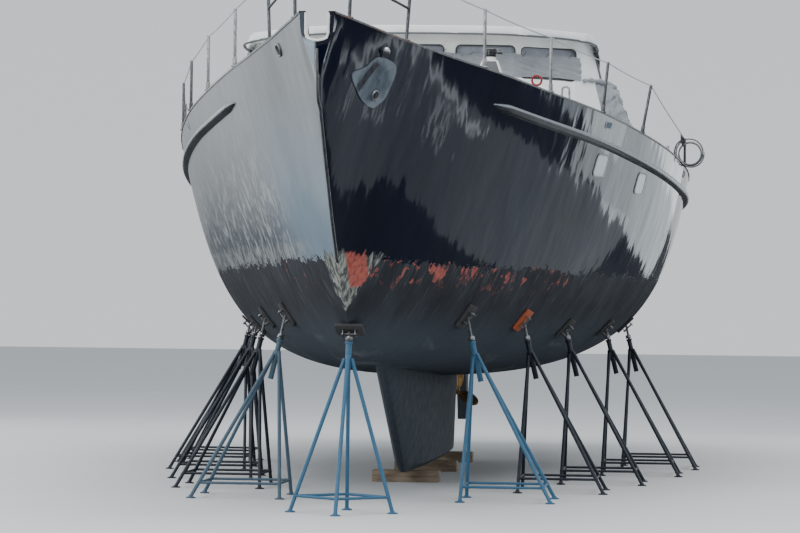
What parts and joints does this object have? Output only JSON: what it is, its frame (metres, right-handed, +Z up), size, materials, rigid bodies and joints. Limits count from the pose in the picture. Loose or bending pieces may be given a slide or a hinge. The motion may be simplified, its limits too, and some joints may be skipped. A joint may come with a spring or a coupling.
{
  "type": "deck-saloon sailing yacht on jack stands, rig unstepped",
  "caption": "Large pilothouse sailing yacht laid up ashore on its ballast keel and jack stands, with the mast and boom taken off.",
  "frame": {"origin": "on the ground under the middle of the yacht, half-way between stem head and transom", "axes": "+X to the bow, +Y to port, +Z up"},
  "size_m": [18, 6.1015, 4.861],
  "materials": {
    "topsides": "glossy black enamel, scuffed, over matt antifouling below the waterline",
    "underwater": "matt blue-black antifouling",
    "white_paint": "semi-gloss white enamel",
    "deck_paint": "matt non-slip deck paint",
    "stainless": "weathered stainless steel",
    "bronze": "dull propeller bronze",
    "tinted_glass": "tinted window glass",
    "smoked_plastic": "smoked acrylic in an aluminium frame",
    "canvas": "weathered grey canvas",
    "teak": "silvered teak",
    "timber": "rough sawn baulk",
    "stand_blue": "chipped blue paint",
    "stand_black": "chipped black paint",
    "cable_rubber": "dull black cable sheath"
  },
  "bodies": {
    "yacht": {"bottom": "underwater", "topsides": "topsides", "bulwark_port": "topsides", "bulwark_starboard": "topsides", "bulwark_transom": "topsides", "deck": "deck_paint", "stem_fitting": "stainless", "stem_bar": "stainless", "anchor_plate": "stainless", "hawse_pipe": "stainless", "rubbing_strake_port": "topsides", "rubbing_strake_starboard": "topsides", "keel": "underwater", "skeg": "underwater", "propeller_shaft": "bronze", "deckhouse_walls": "white_paint", "deckhouse_roof": "white_paint", "deckhouse_glazing": "tinted_glass", "roof_rail_port": "stainless", "roof_rail_starboard": "stainless", "window_cover": "canvas", "side_curtain": "canvas", "hatch_frame": "white_paint", "windlass": "white_paint", "ventilator": "white_paint", "mast_step": "stainless", "chainplates_port": "stainless", "chainplates_starboard": "stainless", "cockpit_coaming": "white_paint", "cockpit_seats": "teak", "pedestal": "white_paint", "pulpit": "stainless", "pushpit": "stainless", "guard_rail_port": "stainless", "guard_rail_starboard": "stainless", "grab_hoop": "stainless", "cable_coil": "cable_rubber", "keel_block_1": "timber", "keel_block_2": "timber", "keel_block_3": "timber", "stand_bow": "stand_blue", "stand_port_1": "stand_black", "stand_starboard_1": "stand_black", "stand_port_2": "stand_black", "stand_starboard_2": "stand_black", "stand_port_3": "stand_black", "stand_starboard_3": "stand_black", "stand_port_4": "stand_black", "stand_starboard_4": "stand_black", "stand_port_5": "stand_black", "stand_starboard_5": "stand_black"},
    "rudder": {"rudder": "underwater"},
    "wheel": {"steering_wheel": "stainless"},
    "propeller": {"propeller": "bronze"},
    "windlass_drum": {"windlass_drum": "stainless"},
    "hatch_lid": {"hatch_lid": "smoked_plastic"},
    "door": {"companionway_door": "white_paint"},
    "winch_port": {"winch_port": "stainless"},
    "winch_starboard": {"winch_starboard": "stainless"}
  },
  "joints": [
    {"name": "rudder_turn", "type": "hinge", "parent": "yacht", "child": "rudder", "pos_m": [-6.95, 0, 1], "axis": [0, 0, 1], "range_deg": [-35, 35]},
    {"name": "wheel_turn", "type": "hinge", "parent": "yacht", "child": "wheel", "pos_m": [-6.48, 0, 3.52], "axis": [1, 0, 0], "range_deg": [-525, 525]},
    {"name": "propeller_spin", "type": "hinge", "parent": "yacht", "child": "propeller", "pos_m": [-5.95, 0, 0.7945], "axis": [0.9927, 0, 0.1204], "continuous": true},
    {"name": "windlass_spin", "type": "hinge", "parent": "yacht", "child": "windlass_drum", "pos_m": [6.9, 0.194, 3.87], "axis": [0, 1, 0], "continuous": true},
    {"name": "hatch_lift", "type": "hinge", "parent": "yacht", "child": "hatch_lid", "pos_m": [5.455, 0, 3.745], "axis": [0, 1, 0], "range_deg": [0, 100]},
    {"name": "door_swing", "type": "hinge", "parent": "yacht", "child": "door", "pos_m": [-4.157, 0.333, 3.95], "axis": [0, 0, -1], "range_deg": [0, 95]},
    {"name": "winch_port_spin", "type": "hinge", "parent": "yacht", "child": "winch_port", "pos_m": [-5, 1.31, 3.578], "axis": [0, 0, 1], "continuous": true},
    {"name": "winch_starboard_spin", "type": "hinge", "parent": "yacht", "child": "winch_starboard", "pos_m": [-5, -1.31, 3.578], "axis": [0, 0, 1], "continuous": true}
  ],
  "couplings": [
    {"joint": "wheel_turn", "follows": "rudder_turn", "ratio": 15}
  ]
}
